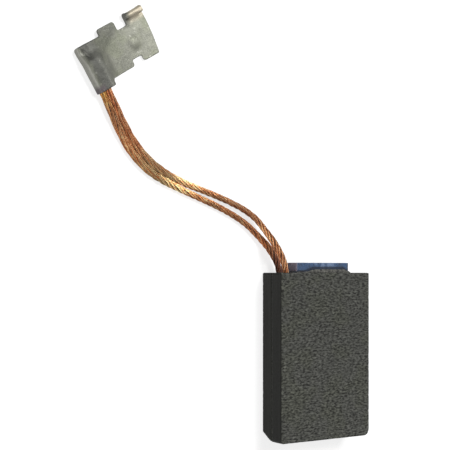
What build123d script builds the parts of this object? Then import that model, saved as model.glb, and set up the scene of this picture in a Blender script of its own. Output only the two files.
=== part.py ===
# Split carbon brush of two wafers, with a rubber pad on its spring end, two bare copper
# rope leads and one folded flag terminal. It lies on the wide back face of its rear wafer.
# X runs across the brush, +Y towards the spring end where the leads come out, +Z up.
# The origin is under the middle of the wafers and the pad, on the surface they lie on.
import math
import os

from build123d import *

# Carbon wafers
WIDTH = 38.1
LENGTH = 57.15
WAFER_THICKNESS = 5.55
EDGE_ROUND = 0.35
CONTACT_CORNER_RIGHT = 2.2
CONTACT_CORNER_LEFT = 1.0
BEVEL_HEIGHT = 3.1
BEVEL_DEPTH = 5.2

# Lead holes in the spring end of the wafers, filled with tamped copper powder
HOLE_DIA = 3.2
HOLE_DEPTH = 7.0
FRONT_HOLE_INSET = 4.1
REAR_HOLE_INSET = 5.4
TAMP_RECESS = 1.3
TAMP_CLEARANCE = 0.02

# Rubber pad and the bead of adhesive round its foot
PAD_WIDTH = 22.3
PAD_HEIGHT = 3.4
PAD_SETBACK = 0.9
PAD_OFFSET = -0.8
BEAD_FOOT = 0.6
BEAD_HEIGHT = 0.7
HUMP_HEIGHT = 1.2
HUMP_START = 2.2
HUMP_RISE = 5.3
HUMP_FALL = 2.5
HUMP_ROUND = 4.0

# Leads, how far one reaches into the wafer and into the barrel of the terminal, and the
# share of the shorter run beside a bend that the bend takes up
LEAD_DIA = 2.1
LEAD_GAP = 0.05
LEAD_IN_WAFER = 4.5
LEAD_OUT_STRAIGHT = 1.5
LEAD_IN_BARREL = 7.5
LEAD_BEFORE_BARREL = 1.5
LEAD_BEND_SHARE = 0.45

# Terminal: tinned sheet that runs over the leads, down their left side and back under
# them. Its own x runs along the blade and its own y up the barrel.
SHEET = 0.8
TERMINAL_X = -62.5
TERMINAL_Y = 54.8
TERMINAL_TURN = 31.5
BARREL_LENGTH = 15.2
BARREL_ROOM = 0.5
BARREL_SHOULDER = 0.6
BARREL_SHOULDER_ROUND = 1.5
BARREL_TOE = 9.4
WING_END = 7.2
MOUTH_END = 6.4
MOUTH_ROUND = 1.0
PINCH_START = 9.6
PINCH_FULL = 12.6
PINCH_HEIGHT = 2.3
PINCH_CORNER = 1.4
PLATE_LOW = 1.9
PLATE_LAP = 0.5
BODY_END = 16.5
LUG_START = 9.7
LUG_HIGH = 17.2
NECK_LOW = 3.9
NECK_HIGH = 14.1
NECK_END = 20.5
HEAD_HIGH = 17.85
HEAD_END = 26.9
HEAD_SLANT = 0.8
HEAD_BOW = 0.5
HEM_HEIGHT = 2.1
HEM_WIDTH = 2.15
HEM_EASE = 0.5
PLATE_CORNER = 0.9
TIP_CORNER = 0.3
NOTCH_CORNER = 0.5
BOSS_X = 19.9
BOSS_Y = 8.6
BOSS_DIA = 5.1
BOSS_TOP_DIA = 2.8
BOSS_RISE = 0.55

# Two points nearer than this are the same corner
SAME_PLACE = 0.01

# Worked out from the sizes above
THICKNESS = 2 * WAFER_THICKNESS
SPRING_END = (LENGTH - PAD_HEIGHT) / 2
CONTACT_END = SPRING_END - LENGTH
LEFT = -WIDTH / 2
RIGHT = WIDTH / 2
PAD_LEFT = PAD_OFFSET - PAD_WIDTH / 2
PAD_RIGHT = PAD_OFFSET + PAD_WIDTH / 2
PAD_BACK = PAD_SETBACK
PAD_FRONT = THICKNESS - PAD_SETBACK
HEAD_FOLD = HEAD_HIGH - HEM_HEIGHT / 2
LEAD_FLOOR = LEAD_DIA / 2
LEAD_IN_SHEET = SHEET + LEAD_DIA / 2
BARREL_HEIGHT = LEAD_DIA + 2 * SHEET
REAR_LEAD_X = BARREL_ROOM + LEAD_DIA / 2
FRONT_LEAD_X = REAR_LEAD_X + LEAD_DIA + LEAD_GAP
TERMINAL_PLACE = Location((LEFT + TERMINAL_X, SPRING_END + TERMINAL_Y, 0), (0, 0, TERMINAL_TURN))

# Each lead's route along the surface, from the corner of the spring end: x, y, height.
# The two points in the wafer and the two in the barrel are added from the sizes above.
FRONT_ROUTE = [
    (1.8, 8.0, 6.8),
    (-0.8, 13.9, 3.5),
    (-5.3, 19.9, 1.4),
    (-16.8, 24.7, LEAD_FLOOR),
    (-34.1, 29.6, LEAD_FLOOR),
    (-42.8, 33.9, LEAD_FLOOR),
    (-49.3, 39.9, LEAD_FLOOR),
    (-54.2, 47.3, LEAD_FLOOR),
]
REAR_ROUTE = [
    (2.1, 7.6, 2.3),
    (-2.8, 12.6, 1.35),
    (-8.6, 17.3, LEAD_FLOOR),
    (-18.4, 21.9, LEAD_FLOOR),
    (-34.6, 27.4, LEAD_FLOOR),
    (-44.0, 31.7, LEAD_FLOOR),
    (-50.1, 36.8, LEAD_FLOOR),
    (-54.6, 43.2, LEAD_FLOOR),
]


def box_between(low, high):
    """A box from its lowest to its highest corner."""
    size = [b - a for a, b in zip(low, high)]
    return Pos(*low) * Box(*size, align=(Align.MIN, Align.MIN, Align.MIN))


def lead_hole(inset, height):
    """The drilled hole for a lead, open at the spring end."""
    mouth = Plane((LEFT + inset, SPRING_END, height), z_dir=(0, -1, 0))
    return extrude(mouth * Circle(HOLE_DIA / 2), HOLE_DEPTH)


def wafer(bottom, wide_face, inset):
    """One carbon wafer, its outer edges eased and its contact corners worn round.

    wide_face is -1 where the upper face is the outer one, and 0 where the lower face is."""
    body = box_between((LEFT, CONTACT_END, bottom), (RIGHT, SPRING_END, bottom + WAFER_THICKNESS))
    upright = body.edges().filter_by(Axis.Z).group_by(Axis.Y)[0].sort_by(Axis.X)
    body = fillet(upright[0], CONTACT_CORNER_LEFT)
    upright = body.edges().filter_by(Axis.Z).group_by(Axis.Y)[0].sort_by(Axis.X)
    body = fillet(upright[-1], CONTACT_CORNER_RIGHT)
    outer = body.faces().sort_by(Axis.Z)[wide_face]
    body = fillet(outer.edges(), EDGE_ROUND)
    return body - lead_hole(inset, bottom + WAFER_THICKNESS / 2)


def front_wafer():
    """The upper wafer, whose wide face shows."""
    return wafer(WAFER_THICKNESS, -1, FRONT_HOLE_INSET)


def rear_wafer():
    """The lower wafer, bevelled at the contact end down to the face it lies on."""
    corners = [(CONTACT_END, 0), (CONTACT_END + BEVEL_HEIGHT, 0), (CONTACT_END, BEVEL_DEPTH)]
    profile = Plane.YZ * make_face(Polyline(*corners, close=True))
    bevel = extrude(profile, WIDTH, both=True)
    return wafer(0, 0, REAR_HOLE_INSET) - bevel


def tamping(inset, height):
    """Tamped powder that fills the hole round the buried end of the lead."""
    floor = Plane((LEFT + inset, SPRING_END - HOLE_DEPTH, height), z_dir=(0, 1, 0))
    plug = extrude(floor * Circle(HOLE_DIA / 2), HOLE_DEPTH - TAMP_RECESS)
    end = Plane((LEFT + inset, SPRING_END - LEAD_IN_WAFER, height), z_dir=(0, 1, 0))
    return plug - extrude(end * Circle(LEAD_DIA / 2 + TAMP_CLEARANCE), LEAD_IN_WAFER)


def top_pad():
    """The rubber pad that the spring presses on."""
    pad = box_between((PAD_LEFT, SPRING_END, PAD_BACK), (PAD_RIGHT, SPRING_END + PAD_HEIGHT, PAD_FRONT))
    return fillet(pad.edges().filter_by(Axis.Y), EDGE_ROUND)


def pad_adhesive():
    """The squeezed out bead round the foot of the pad, standing up in a low hump in front."""
    foot = Plane((PAD_OFFSET, SPRING_END, THICKNESS / 2), x_dir=(1, 0, 0), z_dir=(0, 1, 0))
    deep = PAD_FRONT - PAD_BACK
    slope = math.degrees(math.atan2(BEAD_FOOT, BEAD_HEIGHT))
    ring = foot * Rectangle(PAD_WIDTH + 2 * BEAD_FOOT, deep + 2 * BEAD_FOOT)
    ring = extrude(ring, BEAD_HEIGHT, taper=slope)
    rise = PAD_LEFT + HUMP_START
    flat = rise + HUMP_RISE
    high = SPRING_END + HUMP_HEIGHT
    fall = PAD_RIGHT - HUMP_FALL
    foot_end = PAD_RIGHT + BEAD_FOOT
    corners = [(rise, SPRING_END), (flat, high), (fall, high), (foot_end, SPRING_END)]
    arch = make_face(Polyline(*corners, close=True))
    arch = fillet(arch.vertices().group_by(Axis.Y)[-1], HUMP_ROUND)
    hump = extrude(Plane.XY.offset(PAD_FRONT) * arch, BEAD_FOOT)
    pad = box_between((PAD_LEFT, SPRING_END, PAD_BACK), (PAD_RIGHT, SPRING_END + PAD_HEIGHT, PAD_FRONT))
    return ring + hump - pad


def lead_points(inset, height, route, barrel_x):
    """A lead's whole route, from inside its wafer to inside the barrel."""
    hole_x = LEFT + inset
    start = [
        (hole_x, SPRING_END - LEAD_IN_WAFER, height),
        (hole_x, SPRING_END + LEAD_OUT_STRAIGHT, height),
    ]
    middle = [(LEFT + x, SPRING_END + y, z) for x, y, z in route]
    ends = [(barrel_x, -LEAD_BEFORE_BARREL), (barrel_x, LEAD_IN_BARREL)]
    barrel = [(TERMINAL_PLACE * Location((x, y, LEAD_IN_SHEET))).position for x, y in ends]
    return start + middle + [(p.X, p.Y, p.Z) for p in barrel]


def lead(name, points):
    """A lead as a plain tube of straight runs joined by arcs as large as the runs allow."""
    corners = [Vector(*p) for p in points]
    runs = [b - a for a, b in zip(corners, corners[1:])]
    radii = []
    for before, after in zip(runs, runs[1:]):
        half_turn = math.radians(before.get_angle(after) / 2)
        radii.append(LEAD_BEND_SHARE * min(before.length, after.length) / math.tan(half_turn))
    path = FilletPolyline(*corners, radius=radii)
    mouth = Plane(corners[0], z_dir=runs[0])
    tube = sweep(mouth * Circle(LEAD_DIA / 2), path)
    section = math.pi * (LEAD_DIA / 2) ** 2
    print(name, "length %.1f" % path.length, "volume %.1f of %.1f" % (tube.volume, section * path.length))
    print("  radii", " ".join("%.1f" % r for r in radii))
    return tube


def near(corners, points):
    """Those of the corners that are at one of the points."""

    def matches(corner):
        return any(math.dist((corner.X, corner.Y), point) < SAME_PLACE for point in points)

    return [corner for corner in corners if matches(corner)]


def barrel_section(y, left, shoulder, height):
    """Outer outline across the barrel, from the plate over the leads and back under them."""
    round_off = height / 2
    toe = 2 * SHEET
    outline = make_face(
        [
            Line((left + round_off, 0), (BARREL_TOE, 0)),
            Line((BARREL_TOE, 0), (BARREL_TOE, toe)),
            Line((BARREL_TOE, toe), (shoulder, height)),
            Line((shoulder, height), (left + round_off, height)),
            ThreePointArc((left + round_off, height), (left, round_off), (left + round_off, 0)),
        ]
    )
    outline = fillet(near(outline.vertices(), [(shoulder, height)]), BARREL_SHOULDER_ROUND)
    return Plane((0, y, 0), x_dir=(1, 0, 0), z_dir=(0, -1, 0)) * outline


def barrel():
    """The sheet wrapped round both leads, pinched flat past their ends."""
    left = BARREL_ROOM - SHEET
    shoulder = FRONT_LEAD_X + LEAD_DIA / 2 + BARREL_SHOULDER
    outer = barrel_section(0, left, shoulder, BARREL_HEIGHT)
    room = offset(outer, -SHEET, kind=Kind.INTERSECTION)
    tube = extrude(outer, -PINCH_START) - extrude(room, -PINCH_START)
    start = barrel_section(PINCH_START, left, shoulder, BARREL_HEIGHT)
    flat = barrel_section(PINCH_FULL, left, shoulder, PINCH_HEIGHT)
    end = extrude(flat, -(BARREL_LENGTH - PINCH_FULL))
    mouth = [(left, 0), (MOUTH_END, 0), (WING_END, PLATE_LOW), (BARREL_TOE, PLATE_LOW)]
    plan = make_face(Polyline(*mouth, (BARREL_TOE, BARREL_LENGTH), (left, BARREL_LENGTH), close=True))
    plan = fillet(near(plan.vertices(), [(left, BARREL_LENGTH)]), PINCH_CORNER)
    plan = fillet(near(plan.vertices(), [(MOUTH_END, 0)]), MOUTH_ROUND)
    plan = fillet(near(plan.vertices(), [(WING_END, PLATE_LOW)]), NOTCH_CORNER)
    return (tube + loft([start, flat]) + end) & extrude(plan, BARREL_HEIGHT)


def plate_outline():
    """The flat of the terminal: body, lug, neck between two notches, and head."""
    start = BARREL_TOE - PLATE_LAP
    body = Rectangle(BODY_END - start, BARREL_LENGTH - PLATE_LOW, align=(Align.MIN, Align.MIN))
    lug = Rectangle(BODY_END - LUG_START, LUG_HIGH - PLATE_LOW, align=(Align.MIN, Align.MIN))
    neck = Rectangle(NECK_END - BODY_END, NECK_HIGH - NECK_LOW, align=(Align.MIN, Align.MIN))
    top_end = HEAD_END + HEAD_SLANT
    bulge = (HEAD_END + HEAD_SLANT / 2 + HEAD_BOW, (PLATE_LOW + HEAD_FOLD) / 2)
    head = make_face(
        [
            Line((top_end, HEAD_FOLD), (NECK_END, HEAD_FOLD)),
            Line((NECK_END, HEAD_FOLD), (NECK_END, PLATE_LOW)),
            Line((NECK_END, PLATE_LOW), (HEAD_END, PLATE_LOW)),
            ThreePointArc((HEAD_END, PLATE_LOW), bulge, (top_end, HEAD_FOLD)),
        ]
    )
    flat = Pos(start, PLATE_LOW) * body + Pos(LUG_START, PLATE_LOW) * lug
    flat += Pos(BODY_END, NECK_LOW) * neck + head
    outside = [(LUG_START, LUG_HIGH), (BODY_END, LUG_HIGH), (BODY_END, PLATE_LOW), (NECK_END, PLATE_LOW)]
    inside = [(BODY_END, NECK_LOW), (BODY_END, NECK_HIGH), (NECK_END, NECK_LOW), (NECK_END, NECK_HIGH)]
    flat = fillet(near(flat.vertices(), outside), PLATE_CORNER)
    flat = fillet(near(flat.vertices(), inside), NOTCH_CORNER)
    return fillet(near(flat.vertices(), [(HEAD_END, PLATE_LOW)]), TIP_CORNER)


def hem():
    """The upper edge of the head, rolled over on itself."""
    inner = HEAD_HIGH - HEM_WIDTH
    roll = make_face(
        [
            Line((inner, 0), (HEAD_FOLD, 0)),
            ThreePointArc((HEAD_FOLD, 0), (HEAD_HIGH, HEM_HEIGHT / 2), (HEAD_FOLD, HEM_HEIGHT)),
            Line((HEAD_FOLD, HEM_HEIGHT), (inner, HEM_HEIGHT)),
            Line((inner, HEM_HEIGHT), (inner, 0)),
        ]
    )
    roll = fillet(near(roll.vertices(), [(inner, HEM_HEIGHT)]), HEM_EASE)
    return extrude(Plane.YZ.offset(NECK_END) * roll, HEAD_END + HEAD_SLANT - NECK_END)


def boss(base):
    """The low cone of the punched boss, over the height base."""
    cone = Cone(BOSS_DIA / 2, BOSS_TOP_DIA / 2, BOSS_RISE, align=(Align.CENTER, Align.CENTER, Align.MIN))
    return Pos(BOSS_X, BOSS_Y, base) * cone


def plate_place(reach):
    """Where the plate lies: from the height of the barrel's toe down to the floor at its far end."""
    far = reach - BARREL_TOE
    droop = math.asin(2 * SHEET / math.hypot(far, SHEET)) - math.atan2(SHEET, far)
    return Pos(BARREL_TOE, 0, 2 * SHEET) * Rot(0, math.degrees(droop), 0) * Pos(-BARREL_TOE, 0, -SHEET)


def terminal():
    """The one piece terminal, laid flat where the leads end."""
    plate = extrude(plate_outline(), SHEET) + hem() + boss(SHEET) - boss(0)
    reach = plate.bounding_box().max.X
    place = plate_place(reach)
    under = box_between((WING_END, -SHEET, -2 * SHEET), (reach, HEAD_HIGH, 0))
    whole = barrel() - place * under + place * plate
    return TERMINAL_PLACE * whole


def main():
    front_height = 1.5 * WAFER_THICKNESS
    rear_height = 0.5 * WAFER_THICKNESS
    front_points = lead_points(FRONT_HOLE_INSET, front_height, FRONT_ROUTE, FRONT_LEAD_X)
    rear_points = lead_points(REAR_HOLE_INSET, rear_height, REAR_ROUTE, REAR_LEAD_X)
    nodes = {
        "front_wafer": front_wafer(),
        "rear_wafer": rear_wafer(),
        "front_tamping": tamping(FRONT_HOLE_INSET, front_height),
        "rear_tamping": tamping(REAR_HOLE_INSET, rear_height),
        "top_pad": top_pad(),
        "pad_adhesive": pad_adhesive(),
        "front_lead": lead("front_lead", front_points),
        "rear_lead": lead("rear_lead", rear_points),
        "terminal": terminal(),
    }
    os.makedirs("parts", exist_ok=True)
    for name, shape in nodes.items():
        export_step(shape, f"parts/{name}.step")


main()
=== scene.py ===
# Split carbon brush: two carbon wafers, a rubber pad on its adhesive, two bare copper
# rope leads in tamped powder, and a folded flag terminal. Everything is in metres, in the
# frame of the CAD part: +Y along the brush towards the leads, +Z up from the floor.
import math

import bmesh
import bpy
from bpy.props import FloatProperty, FloatVectorProperty, IntProperty, PointerProperty
from mathutils import Matrix, Vector, noise


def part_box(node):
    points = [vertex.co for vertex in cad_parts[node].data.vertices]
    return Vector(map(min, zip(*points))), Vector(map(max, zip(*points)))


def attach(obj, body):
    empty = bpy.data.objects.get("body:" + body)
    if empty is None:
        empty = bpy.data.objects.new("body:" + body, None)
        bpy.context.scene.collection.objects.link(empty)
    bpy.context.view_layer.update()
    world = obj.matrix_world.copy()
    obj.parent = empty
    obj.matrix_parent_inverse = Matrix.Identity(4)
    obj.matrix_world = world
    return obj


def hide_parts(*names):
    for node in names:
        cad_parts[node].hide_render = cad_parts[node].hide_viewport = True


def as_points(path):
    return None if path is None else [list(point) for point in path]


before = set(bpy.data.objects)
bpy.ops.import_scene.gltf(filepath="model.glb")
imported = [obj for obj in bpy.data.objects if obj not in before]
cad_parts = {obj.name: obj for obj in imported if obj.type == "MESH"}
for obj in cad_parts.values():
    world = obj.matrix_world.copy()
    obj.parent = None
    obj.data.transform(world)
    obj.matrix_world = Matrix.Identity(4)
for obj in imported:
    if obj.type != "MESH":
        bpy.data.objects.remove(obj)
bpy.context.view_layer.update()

bl_info = {
    "name": "Carbon Brush",
    "version": (1, 0, 0),
    "blender": (4, 5, 0),
    "location": "View3D > Sidebar > Carbon Brush",
    "description": "Dresses the CAD model of a split carbon brush with its leads and terminal",
    "category": "Object",
}

MM = 0.001

# Places read from the CAD part
WAFER_LOW, WAFER_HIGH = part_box("front_wafer")
REAR_LOW, REAR_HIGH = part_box("rear_wafer")
PAD_LOW, PAD_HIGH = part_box("top_pad")
SPRING_END = WAFER_HIGH.y
LEADS_CORNER = Vector((WAFER_LOW.x, SPRING_END, 0))

# The terminal's own frame: x along its blade, y up its barrel
TERMINAL_OFFSET = Vector((-62.5, 54.8, 0)) * MM
TERMINAL_TURN = math.radians(31.5)
TERMINAL_SHIFT = Matrix.Translation(LEADS_CORNER + TERMINAL_OFFSET)
TERMINAL_PLACE = TERMINAL_SHIFT @ Matrix.Rotation(TERMINAL_TURN, 4, "Z")

# The hollow beside the pinched end of the barrel, in the terminal's own frame
CREASE_PLACE = (1.9, 12.4, 0)
CREASE_TURN = math.radians(20)
CREASE_WIDTH = 0.75 * MM
CREASE_LENGTH = 2.0 * MM
CREASE_DEPTH = 0.4 * MM

# The low waves that hand tooling leaves in the sheet
WAVE_SIZE = 4.5 * MM
RIPPLE_SIZE = 1.9 * MM
WAVE_CLEARANCE = 0.5 * MM

# Where the forming rounded the sheet, in the terminal's own frame and in millimetres: the
# barrel up to its foot on the blade and to the body's top, round the boss, and the hem
BARREL_START = 0.5
BARREL_END = 10.9
BARREL_LOW = 0.3
TOE_START = 7.6
TOE_TOP = 2.6
BODY_TOP = 15.2
BOSS_PLACE = (19.9, 8.6)
BOSS_REACH = 3.9
BOSS_EASE = 0.6
HEM_PLACE = (20.9, 14.4, 26.6)
SOFTEN_STEPS = 6
MELT_STEPS = 400

# Stains of the plating, and painted shade and painted light on it, in the terminal's own frame
# and in millimetres. In each pair nothing shows at the first place, and all of it at the second.
# The lower limit of the painted shade above the barrel rises along the blade by its slope, and
# all edges wander with the mottling
EDGE_WANDER = 3.0
STAIN_SHIFT = (31.0, 7.0, 0.0)
# Painted shade over the barrel
SHADE_BAND_LEFT = (0.6, 2.6)
SHADE_BAND_RIGHT = (8.5, 5.0)
# A darker plum corner at the barrel's mouth
PLUM_RIGHT = (3.2, 1.2)
PLUM_TOP = (3.0, 1.0)
# Painted shade above the barrel and along the middle of its top
SHOULDER_SLOPE = 0.6
SHOULDER_LOW = (3.2, 6.2)
SHOULDER_LEFT = (2.5, 8.0)
MIDDLE_LEFT = (0.6, 2.0)
MIDDLE_RIGHT = (4.8, 3.4)
# Painted highlight on the rolled hem
HEM_HIGHLIGHT_LEFT = (20.2, 23.2)
HEM_HIGHLIGHT_LOW = (13.2, 15.8)
# Painted shade inside the open left end of the rolled hem
HEM_END_LEFT = (17.0, 18.0)
HEM_END_RIGHT = (22.6, 20.6)
HEM_END_LOW = (12.8, 14.8)

# Two places along the blade, in millimetres, and the tones of the plating there
BLADE_PLACES = (12.0, 22.0)
BLADE_TONES = (0.76, 1.08)

# Chips along the edges of the carbon: how far in they reach, the size of a large one, how
# many times smaller the small ones are, and the noise below which nothing has broken off
CHIP_REACH = 0.9 * MM
CHIP_SIZE = 1.6 * MM
SMALL_CHIPS = 2.7
CHIP_START = 0.05

# Ground carbon, in millimetres: half the length over which a painted shade darkens it towards
# the spring end, with its tones at the two ends, and how far the painted shade along the floor
# and spring-end edges of the narrow side reaches, full and faded
SHADE_GRADIENT_HALF = 30.0
SHADE_GRADIENT_TONES = (1.03, 0.89)
PAINTED_EDGE_SHADE = (0.35, 0.8)

# The adhesive on the pad's front, in millimetres as in the CAD part: the width of its foot,
# and the hump on it, with its rise from the left end, its fall to the right one and its height.
# These place the painted shadow line on the pad along the top of the adhesive
FOOT_WIDTH = 0.8
HUMP_RISE = (2.2, 7.5)
HUMP_FALL = 2.5
HUMP_HEIGHT = 1.2

# The darker right end of the pad's front, and the dusted crest of the adhesive, below which
# the adhesive carries a painted shadow line, in millimetres
DARKER_RIGHT_END = (0.7, 0.3)
CREST_HEIGHT = 0.45
CREST_FADE = 0.15

# Leads: how far one reaches into its wafer and into the barrel, and where
LEAD_IN_WAFER = 4.5
LEAD_OUT_STRAIGHT = 1.5
LEAD_BEFORE_BARREL = 1.5
LEAD_IN_BARREL = 7.5
LEAD_IN_SHEET = 1.85
LEAD_FLOOR = 1.05
ROUTE_STEPS = 24

# Towards the terminal a lay opens out: from how far along the lead, how gently that sets
# in, and by what share
LAY_OPENS = 60 * MM
LAY_EASE = 8 * MM
LAY_OPENING = 0.7

# Where a rope spreads sideways, and by what share: on its opened lay, and next to the block.
# In each pair nothing shows at the first place along the lead, and all of it at the second
SPREAD_STARTS = (50 * MM, 64 * MM)
SPREAD_ENDS = (95 * MM, 86 * MM)
SPREAD = 0.3
EXIT_SPREAD_STARTS = (6 * MM, 11 * MM)
EXIT_SPREAD_ENDS = (22 * MM, 14 * MM)
EXIT_SPREAD = 0.22

# How finely a rope is made: the step along it, and the sides of its heart, of the core of a
# bundle and of a wire. The core stays below its wires by a share of their radius
ROPE_STEP = 0.6 * MM
HEART_SIDES = 10
CORE_SIDES = 8
WIRE_SIDES = 5
CORE_DEPTH = 0.4

# How a bundle strays in its rope: the strays to a metre, the noise's step from one bundle to
# the next, the share of its place that it strays by, and how far out it lies on the whole
STRAYS = 260.0
STRAY_STEP = 3.7
STRAY_SHARE = 0.2
BUNDLE_REACH = 1.05

# Where the leads carry a painted highlight along their middle, where the painted shade in their
# grooves turns lighter, and the shares of the rope's radius at which that painted shade is
# darkest and at which it ends
HIGHLIGHT_STARTS = (50 * MM, 62 * MM)
HIGHLIGHT_ENDS = (84 * MM, 72 * MM)
LIGHTER_GROOVE_SHADE = (70 * MM, 85 * MM)
GROOVE_REACH = (0.62, 0.92)

# Tints of each lead from its wafer to its terminal, at shares of this length: tarnished
# copper, darker at both ends, with a painted shadow on the rear lead by the block, where the
# front lead shades it, and a painted highlight where the tints rise above 1 in the middle
TINT_LENGTH = 100 * MM
TARNISH_AND_PAINTED_LIGHT = {
    "front_lead": [
        (0.0, (0.55, 0.45, 0.4)),
        (0.1, (0.6, 0.48, 0.42)),
        # Painted highlight: tints above 1 from here to the middle
        (0.24, (1.1, 0.95, 0.82)),
        (0.36, (1.1, 0.9, 0.8)),
        (0.56, (1.3, 1.3, 1.2)),
        (0.7, (0.95, 0.80, 0.66)),
        (0.88, (0.72, 0.60, 0.52)),
        (1.0, (0.8, 0.6, 0.5)),
    ],
    "rear_lead": [
        # Painted shadow: dark by the block, where the front lead shades the rear lead
        (0.0, (0.15, 0.12, 0.18)),
        (0.1, (0.3, 0.22, 0.25)),
        (0.17, (1.0, 0.8, 0.66)),
        # Painted highlight: tints above 1 here and in the middle
        (0.4, (1.35, 1.25, 1.1)),
        (0.58, (1.45, 1.5, 1.35)),
        (0.73, (1.0, 0.86, 0.68)),
        (0.93, (0.7, 0.66, 0.62)),
        (1.0, (0.75, 0.78, 0.4)),
    ],
}

# Each lead: its hole's inset and height, its place in the barrel, and its route from the
# corner of the spring end as x, y, height, all in millimetres
LEADS = {
    "front_lead": {
        "inset": 4.1,
        "height": 8.325,
        "barrel_x": 3.7,
        "route": [
            (1.8, 8.0, 6.8),
            (-0.8, 13.9, 3.5),
            (-5.3, 19.9, 1.4),
            (-16.8, 24.7, LEAD_FLOOR),
            (-34.1, 29.6, LEAD_FLOOR),
            (-42.8, 33.9, LEAD_FLOOR),
            (-49.3, 39.9, LEAD_FLOOR),
            (-54.2, 47.3, LEAD_FLOOR),
        ],
    },
    "rear_lead": {
        "inset": 5.4,
        "height": 2.775,
        "barrel_x": 1.55,
        "route": [
            (2.1, 7.6, 2.3),
            (-2.8, 12.6, 1.35),
            (-8.6, 17.3, LEAD_FLOOR),
            (-18.4, 21.9, LEAD_FLOOR),
            (-34.6, 27.4, LEAD_FLOOR),
            (-44.0, 31.7, LEAD_FLOOR),
            (-50.1, 36.8, LEAD_FLOOR),
            (-54.6, 43.2, LEAD_FLOOR),
        ],
    },
}

# Camera: above the left side of the brush, square to its length
CAMERA_PLACE = Vector((-224.75 * MM, SPRING_END, 294.54 * MM))
CAMERA_LEAN = math.radians(-32.9)
CAMERA_LENS = 84.24
CAMERA_SHIFT = 0.106

# Floor and lamps: half the floor's side, its drop under the part, and each lamp's place and side
FLOOR_HALF = 1.5
FLOOR_DROP = 0.02 * MM
KEY_LAMP = ((0.14, 0.32, 0.54), 0.30)
FILL_LAMP = ((-0.38, -0.22, 0.42), 0.40)
LAMP_AIM = Vector((-0.03, 0.03, 0))


# Settings that a user would change


def colour_setting(name, description, default):
    """A colour with its opacity, for a settings group."""
    return FloatVectorProperty(
        name=name, description=description, default=(*default, 1), size=4, min=0, max=1, subtype="COLOR"
    )


def length_setting(name, description, default):
    """A length in metres, for a settings group."""
    return FloatProperty(
        name=name, description=description, default=default, min=0, unit="LENGTH", precision=5
    )


class CarbonSettings(bpy.types.PropertyGroup):
    base: colour_setting("Carbon", "Main colour of the ground carbon", (0.068, 0.069, 0.062))
    olive: colour_setting("Olive carbon", "Colour of the faintly stained places", (0.067, 0.069, 0.057))
    grain: length_setting("Grain", "Size of a grain in the ground face", 0.62 * MM)
    contrast: FloatProperty(
        name="Contrast", description="How far the grains differ", default=5.2, min=0
    )
    chip_depth: length_setting("Chips", "Depth of the largest chips along the edges", 0.16 * MM)


class PadSettings(bpy.types.PropertyGroup):
    rubber: colour_setting("Rubber", "Colour of the pad", (0.052, 0.095, 0.185))
    dust: colour_setting("Dust", "Colour of carbon dust worked into the pad", (0.045, 0.052, 0.065))
    # Painted highlights: the lighter spots on the pad's front
    light: colour_setting("Painted rubber highlight", "Colour of the spots of painted highlight", (0.19, 0.26, 0.40))
    # The narrow ends: dusty grey rubber, lightened further as painted light
    end: colour_setting("Pad end", "Colour of the narrow ends, dusty and lightened as painted light", (0.32, 0.31, 0.39))
    adhesive: colour_setting("Adhesive", "Colour of the dusted adhesive", (0.075, 0.074, 0.066))
    # The painted shadow line along the top of the adhesive
    painted_shadow_line: colour_setting("Painted shadow line", "Colour of the painted shadow line along the adhesive", (0.012, 0.016, 0.026))


class LeadSettings(bpy.types.PropertyGroup):
    diameter: length_setting("Diameter", "Diameter of one rope", 2.1 * MM)
    bundles: IntProperty(
        name="Bundles", description="Bundles laid round the rope", default=6, min=3, max=12
    )
    wires: IntProperty(
        name="Wires", description="Wires that show on one bundle", default=13, min=6, max=24
    )
    wire: length_setting("Wire", "Diameter of one wire", 0.15 * MM)
    rope_lay: length_setting("Rope lay", "Length of one turn of the bundles", 14 * MM)
    bundle_lay: length_setting("Bundle lay", "Length of one turn of the wires in a bundle", 8.5 * MM)
    # Clean copper, and the colour of the painted glints
    bright: colour_setting("Bright copper", "Colour of clean wires and of painted glints", (1.0, 0.76, 0.44))
    red: colour_setting("Red copper", "Colour of darkened wires", (0.82, 0.33, 0.12))
    brown: colour_setting("Brown copper", "Colour of wires in the dirt", (0.38, 0.145, 0.055))


class TerminalSettings(bpy.types.PropertyGroup):
    tin: colour_setting("Tin", "Colour of the dull plating", (0.170, 0.172, 0.140))
    # Darker mottles, and the painted shade over the barrel
    shade: colour_setting("Mottled and shaded tin", "Colour of the darker mottles and of the painted shade", (0.095, 0.096, 0.083))
    # Painted light on the terminal's left-facing sides, and its painted glints
    painted_light: colour_setting("Painted light on tin", "Colour of the painted light and painted glints on the plating", (0.34, 0.34, 0.30))
    olive: colour_setting("Olive tint", "Colour of the thin stained plating", (0.140, 0.148, 0.104))
    # Painted highlight on the rolled hem
    hem_highlight: colour_setting("Tin hem highlight", "Colour of the painted highlight on the rolled hem", (0.33, 0.29, 0.22))
    plum: colour_setting("Plum tint", "Colour of the darker plum corner at the barrel's mouth", (0.095, 0.070, 0.085))
    dents: length_setting("Waves", "Height of the waves that forming leaves in the sheet", 0.07 * MM)


class StageSettings(bpy.types.PropertyGroup):
    floor: colour_setting("Floor", "Colour of the floor", (0.50, 0.50, 0.50))
    glow: FloatProperty(
        name="Floor glow", description="Light that the floor shows the camera", default=0.72, min=0
    )
    key_power: FloatProperty(
        name="Key lamp", description="Power of the main lamp", default=3.0, unit="POWER"
    )
    fill_power: FloatProperty(
        name="Fill lamp", description="Power of the weaker lamp", default=0.8, unit="POWER"
    )
    sky: FloatProperty(name="Sky", description="Even light from all round", default=0.16, min=0)


# Building blocks


def add_object(name, data):
    """A new object in the scene, at the origin."""
    made = bpy.data.objects.new(name, data)
    bpy.context.scene.collection.objects.link(made)
    return made


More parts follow.
